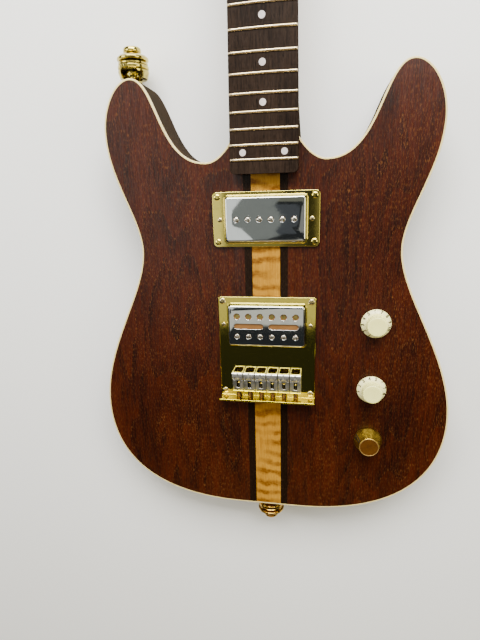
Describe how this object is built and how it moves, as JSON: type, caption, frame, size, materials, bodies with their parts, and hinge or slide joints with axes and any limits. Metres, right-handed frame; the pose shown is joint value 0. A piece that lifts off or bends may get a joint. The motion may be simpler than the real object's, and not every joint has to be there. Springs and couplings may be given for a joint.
{
  "type": "electric guitar",
  "caption": "Solid-body electric guitar with a through neck, covered pickups, fixed bridge with sliding saddles, turning tuners, dial knobs and strap locks; unstrung, lying on its back.",
  "frame": {"origin": "centre line of the body at its flat back, under the line of the saddles at rest", "axes": "+X to the treble side, +Y along the neck to the headstock, +Z out of the front"},
  "size_m": [0.3307, 1.1067, 0.0607],
  "materials": {
    "walnut": "dark figured hardwood, thin satin lacquer",
    "maple": "flamed golden wood, satin lacquer",
    "dark_stripe": "near-black veneer, satin lacquer",
    "rosewood": "open-grained, oiled",
    "cream_binding": "cream, polished",
    "nut_bone": "off-white, polished",
    "gold": "gold plated, mirror polish",
    "chrome": "mirror polish",
    "steel": "bare",
    "bobbin": "copper-tan moulding",
    "knob_cream": "off-white moulding",
    "black_plastic": "black moulding",
    "capacitor_orange": "dipped"
  },
  "bodies": {
    "guitar_body": {"body_wing_bass": "walnut", "body_wing_treble": "walnut", "body_binding": "cream_binding", "neck_centre": "maple", "neck_stripe_bass": "dark_stripe", "neck_stripe_treble": "dark_stripe", "neck_side_bass": "walnut", "neck_side_treble": "walnut", "fretboard": "rosewood", "nut": "nut_bone", "truss_rod": "steel", "tuner_housing_1": "gold", "tuner_housing_2": "gold", "tuner_housing_3": "gold", "tuner_housing_4": "gold", "tuner_housing_5": "gold", "tuner_housing_6": "gold", "neck_pickup_ring": "gold", "bridge_plate": "gold", "control_cover": "black_plastic", "tone_pot": "steel", "volume_pot": "steel", "blend_pot": "steel", "tone_capacitor": "capacitor_orange", "jack_cup": "gold", "output_jack": "steel", "wiring_loom": "black_plastic", "strap_button_horn": "gold", "strap_button_tail": "gold"},
    "truss_rod_nut": {"truss_rod_nut": "steel"},
    "tuner_post_1": {"tuner_post_1": "gold"},
    "tuner_post_2": {"tuner_post_2": "gold"},
    "tuner_post_3": {"tuner_post_3": "gold"},
    "tuner_post_4": {"tuner_post_4": "gold"},
    "tuner_post_5": {"tuner_post_5": "gold"},
    "tuner_post_6": {"tuner_post_6": "gold"},
    "tuner_key_1": {"tuner_key_1": "gold"},
    "tuner_key_2": {"tuner_key_2": "gold"},
    "tuner_key_3": {"tuner_key_3": "gold"},
    "tuner_key_4": {"tuner_key_4": "gold"},
    "tuner_key_5": {"tuner_key_5": "gold"},
    "tuner_key_6": {"tuner_key_6": "gold"},
    "saddle_1": {"saddle_1": "chrome"},
    "saddle_2": {"saddle_2": "chrome"},
    "saddle_3": {"saddle_3": "chrome"},
    "saddle_4": {"saddle_4": "chrome"},
    "saddle_5": {"saddle_5": "chrome"},
    "saddle_6": {"saddle_6": "chrome"},
    "neck_pickup": {"neck_pickup_cover": "chrome", "neck_pickup_base": "bobbin"},
    "bridge_pickup": {"bridge_pickup_cover": "chrome", "bridge_pickup_base": "bobbin"},
    "tone_knob": {"tone_knob": "knob_cream"},
    "volume_knob": {"volume_knob": "knob_cream"},
    "blend_knob": {"blend_knob": "gold"},
    "strap_lock_horn": {"strap_lock_horn": "gold"},
    "strap_lock_tail": {"strap_lock_tail": "gold"},
    "strap_pin_horn": {"strap_pin_horn": "gold"},
    "strap_pin_tail": {"strap_pin_tail": "gold"}
  },
  "joints": [
    {"name": "tuner_key_1_turn", "type": "hinge", "parent": "guitar_body", "child": "tuner_key_1", "pos_m": [-0.0268, 0.8098, 0.02565], "axis": [-1, 0, 0], "continuous": true},
    {"name": "tuner_post_1_turn", "type": "hinge", "parent": "guitar_body", "child": "tuner_post_1", "pos_m": [-0.0268, 0.8013, 0.0447], "axis": [0, 0, 1], "continuous": true},
    {"name": "tuner_key_2_turn", "type": "hinge", "parent": "guitar_body", "child": "tuner_key_2", "pos_m": [-0.0268, 0.8518, 0.02565], "axis": [-1, 0, 0], "continuous": true},
    {"name": "tuner_post_2_turn", "type": "hinge", "parent": "guitar_body", "child": "tuner_post_2", "pos_m": [-0.0268, 0.8433, 0.0447], "axis": [0, 0, 1], "continuous": true},
    {"name": "tuner_key_3_turn", "type": "hinge", "parent": "guitar_body", "child": "tuner_key_3", "pos_m": [-0.0268, 0.8938, 0.02565], "axis": [-1, 0, 0], "continuous": true},
    {"name": "tuner_post_3_turn", "type": "hinge", "parent": "guitar_body", "child": "tuner_post_3", "pos_m": [-0.0268, 0.8853, 0.0447], "axis": [0, 0, 1], "continuous": true},
    {"name": "tuner_key_4_turn", "type": "hinge", "parent": "guitar_body", "child": "tuner_key_4", "pos_m": [0.0268, 0.8938, 0.02565], "axis": [1, 0, 0], "continuous": true},
    {"name": "tuner_post_4_turn", "type": "hinge", "parent": "guitar_body", "child": "tuner_post_4", "pos_m": [0.0268, 0.8853, 0.0447], "axis": [0, 0, 1], "continuous": true},
    {"name": "tuner_key_5_turn", "type": "hinge", "parent": "guitar_body", "child": "tuner_key_5", "pos_m": [0.0268, 0.8518, 0.02565], "axis": [1, 0, 0], "continuous": true},
    {"name": "tuner_post_5_turn", "type": "hinge", "parent": "guitar_body", "child": "tuner_post_5", "pos_m": [0.0268, 0.8433, 0.0447], "axis": [0, 0, 1], "continuous": true},
    {"name": "tuner_key_6_turn", "type": "hinge", "parent": "guitar_body", "child": "tuner_key_6", "pos_m": [0.0268, 0.8098, 0.02565], "axis": [1, 0, 0], "continuous": true},
    {"name": "tuner_post_6_turn", "type": "hinge", "parent": "guitar_body", "child": "tuner_post_6", "pos_m": [0.0268, 0.8013, 0.0447], "axis": [0, 0, 1], "continuous": true},
    {"name": "saddle_1_slide", "type": "slide", "parent": "guitar_body", "child": "saddle_1", "axis": [0, 1, 0], "range_m": [-0.004, 0.0045]},
    {"name": "saddle_2_slide", "type": "slide", "parent": "guitar_body", "child": "saddle_2", "axis": [0, 1, 0], "range_m": [-0.004, 0.0045]},
    {"name": "saddle_3_slide", "type": "slide", "parent": "guitar_body", "child": "saddle_3", "axis": [0, 1, 0], "range_m": [-0.004, 0.0045]},
    {"name": "saddle_4_slide", "type": "slide", "parent": "guitar_body", "child": "saddle_4", "axis": [0, 1, 0], "range_m": [-0.004, 0.0045]},
    {"name": "saddle_5_slide", "type": "slide", "parent": "guitar_body", "child": "saddle_5", "axis": [0, 1, 0], "range_m": [-0.004, 0.0045]},
    {"name": "saddle_6_slide", "type": "slide", "parent": "guitar_body", "child": "saddle_6", "axis": [0, 1, 0], "range_m": [-0.004, 0.0045]},
    {"name": "neck_pickup_height", "type": "slide", "parent": "guitar_body", "child": "neck_pickup", "axis": [0, 0, 1], "range_m": [-0.003, 0.002]},
    {"name": "bridge_pickup_height", "type": "slide", "parent": "guitar_body", "child": "bridge_pickup", "axis": [0, 0, 1], "range_m": [-0.003, 0.002]},
    {"name": "tone_knob_turn", "type": "hinge", "parent": "guitar_body", "child": "tone_knob", "pos_m": [0.0968, 0.0505, 0.0445], "axis": [0, 0, 1], "range_deg": [-135, 135]},
    {"name": "volume_knob_turn", "type": "hinge", "parent": "guitar_body", "child": "volume_knob", "pos_m": [0.0958, -0.0123, 0.0445], "axis": [0, 0, 1], "range_deg": [-135, 135]},
    {"name": "blend_knob_turn", "type": "hinge", "parent": "guitar_body", "child": "blend_knob", "pos_m": [0.0949, -0.0639, 0.0445], "axis": [0, 0, 1], "range_deg": [-135, 135]},
    {"name": "truss_rod_nut_turn", "type": "hinge", "parent": "guitar_body", "child": "truss_rod_nut", "pos_m": [0, 0.7682, 0.0427], "axis": [0, 1, 0], "range_deg": [-180, 360]},
    {"name": "strap_lock_horn_swivel", "type": "hinge", "parent": "guitar_body", "child": "strap_lock_horn", "pos_m": [-0.1188, 0.2607, 0.02225], "axis": [0, 1, 0], "continuous": true},
    {"name": "strap_pin_horn_pull", "type": "slide", "parent": "strap_lock_horn", "child": "strap_pin_horn", "axis": [0, 1, 0], "range_m": [0, 0.0055], "stiffness_N_per_m": 1250, "springref_m": -0.002},
    {"name": "strap_lock_tail_swivel", "type": "hinge", "parent": "guitar_body", "child": "strap_lock_tail", "pos_m": [0, -0.1453, 0.02225], "axis": [0, -1, 0], "continuous": true},
    {"name": "strap_pin_tail_pull", "type": "slide", "parent": "strap_lock_tail", "child": "strap_pin_tail", "axis": [0, -1, 0], "range_m": [0, 0.0055], "stiffness_N_per_m": 1250, "springref_m": -0.002}
  ],
  "couplings": [
    {"joint": "tuner_post_1_turn", "follows": "tuner_key_1_turn", "ratio": 0.066667},
    {"joint": "tuner_post_2_turn", "follows": "tuner_key_2_turn", "ratio": 0.066667},
    {"joint": "tuner_post_3_turn", "follows": "tuner_key_3_turn", "ratio": 0.066667},
    {"joint": "tuner_post_4_turn", "follows": "tuner_key_4_turn", "ratio": 0.066667},
    {"joint": "tuner_post_5_turn", "follows": "tuner_key_5_turn", "ratio": 0.066667},
    {"joint": "tuner_post_6_turn", "follows": "tuner_key_6_turn", "ratio": 0.066667}
  ]
}
